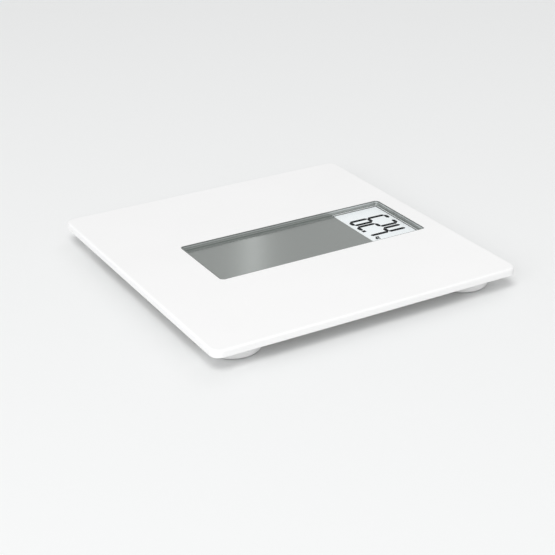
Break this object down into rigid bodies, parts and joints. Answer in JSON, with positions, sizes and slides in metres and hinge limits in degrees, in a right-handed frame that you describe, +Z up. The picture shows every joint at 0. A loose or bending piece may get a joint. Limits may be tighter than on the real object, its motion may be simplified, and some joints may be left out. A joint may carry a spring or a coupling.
{
  "type": "bathroom scale",
  "caption": "Flat square electronic bathroom scale with a sunk brushed-steel panel and numeric display, on sprung round feet.",
  "frame": {"origin": "on the floor under the middle of the deck", "axes": "+Z up, +Y from the user's toes towards the display end, +X to the user's right"},
  "size_m": [0.3, 0.3, 0.021],
  "materials": {
    "white_plastic": "satin moulded white",
    "cover_plastic": "fine matt moulded white",
    "brushed_steel": "brushed",
    "spring_steel": "bright zinc or nickel plate",
    "clear_plastic": "clear polished",
    "display_glass": "reflective liquid-crystal display",
    "ribbon_film": "film",
    "green_board": "solder mask",
    "black_plastic": "matt",
    "gauge_film": "film",
    "grey_rubber": "matt",
    "lead_sheath": "smooth sheath"
  },
  "bodies": {
    "scale": {"deck": "white_plastic", "inlay_tray": "brushed_steel", "display_lens": "clear_plastic", "display_glass": "display_glass", "display_frame": "black_plastic", "backlight_guide": "clear_plastic", "display_ribbon": "ribbon_film", "main_board": "green_board", "board_chip": "black_plastic", "base_cover": "cover_plastic", "battery_cell": "spring_steel", "contact_minus": "spring_steel", "contact_plus": "spring_steel", "switch_body": "black_plastic", "base_screw_1": "spring_steel", "base_screw_2": "spring_steel", "base_screw_3": "spring_steel", "base_screw_4": "spring_steel", "base_screw_5": "spring_steel", "base_screw_6": "spring_steel", "base_screw_7": "spring_steel", "base_screw_8": "spring_steel", "display_screw_1": "spring_steel", "display_screw_2": "spring_steel", "display_screw_3": "spring_steel", "display_screw_4": "spring_steel", "board_screw_1": "spring_steel", "board_screw_4": "spring_steel", "load_cell_front_left": "spring_steel", "load_cell_seat_front_left": "white_plastic", "strain_gauge_front_left": "gauge_film", "load_cell_lead_front_left": "lead_sheath", "load_cell_front_right": "spring_steel", "load_cell_seat_front_right": "white_plastic", "strain_gauge_front_right": "gauge_film", "load_cell_lead_front_right": "lead_sheath", "load_cell_back_left": "spring_steel", "load_cell_seat_back_left": "white_plastic", "strain_gauge_back_left": "gauge_film", "load_cell_lead_back_left": "lead_sheath", "load_cell_back_right": "spring_steel", "load_cell_seat_back_right": "white_plastic", "strain_gauge_back_right": "gauge_film", "load_cell_lead_back_right": "lead_sheath"},
    "battery_door": {"battery_door": "cover_plastic"},
    "unit_button": {"unit_button": "cover_plastic", "switch_plunger": "white_plastic"},
    "foot_front_left": {"foot_cap_front_left": "white_plastic", "foot_pad_front_left": "grey_rubber", "foot_screw_front_left": "spring_steel"},
    "foot_front_right": {"foot_cap_front_right": "white_plastic", "foot_pad_front_right": "grey_rubber", "foot_screw_front_right": "spring_steel"},
    "foot_back_left": {"foot_cap_back_left": "white_plastic", "foot_pad_back_left": "grey_rubber", "foot_screw_back_left": "spring_steel"},
    "foot_back_right": {"foot_cap_back_right": "white_plastic", "foot_pad_back_right": "grey_rubber", "foot_screw_back_right": "spring_steel"}
  },
  "joints": [
    {"name": "battery_door_hinge", "type": "hinge", "parent": "scale", "child": "battery_door", "pos_m": [0, -0.014, 0.0056], "axis": [-1, 0, 0], "range_deg": [0, 95]},
    {"name": "unit_button_press", "type": "slide", "parent": "scale", "child": "unit_button", "axis": [0, 0, 1], "range_m": [0, 0.0005], "stiffness_N_per_m": 200},
    {"name": "foot_front_left_travel", "type": "slide", "parent": "scale", "child": "foot_front_left", "axis": [0, 0, 1], "range_m": [0, 0.0005], "stiffness_N_per_m": 20000, "deforming": ["load_cell_front_left"]},
    {"name": "foot_front_right_travel", "type": "slide", "parent": "scale", "child": "foot_front_right", "axis": [0, 0, 1], "range_m": [0, 0.0005], "stiffness_N_per_m": 20000, "deforming": ["load_cell_front_right"]},
    {"name": "foot_back_left_travel", "type": "slide", "parent": "scale", "child": "foot_back_left", "axis": [0, 0, 1], "range_m": [0, 0.0005], "stiffness_N_per_m": 20000, "deforming": ["load_cell_back_left"]},
    {"name": "foot_back_right_travel", "type": "slide", "parent": "scale", "child": "foot_back_right", "axis": [0, 0, 1], "range_m": [0, 0.0005], "stiffness_N_per_m": 20000, "deforming": ["load_cell_back_right"]}
  ]
}
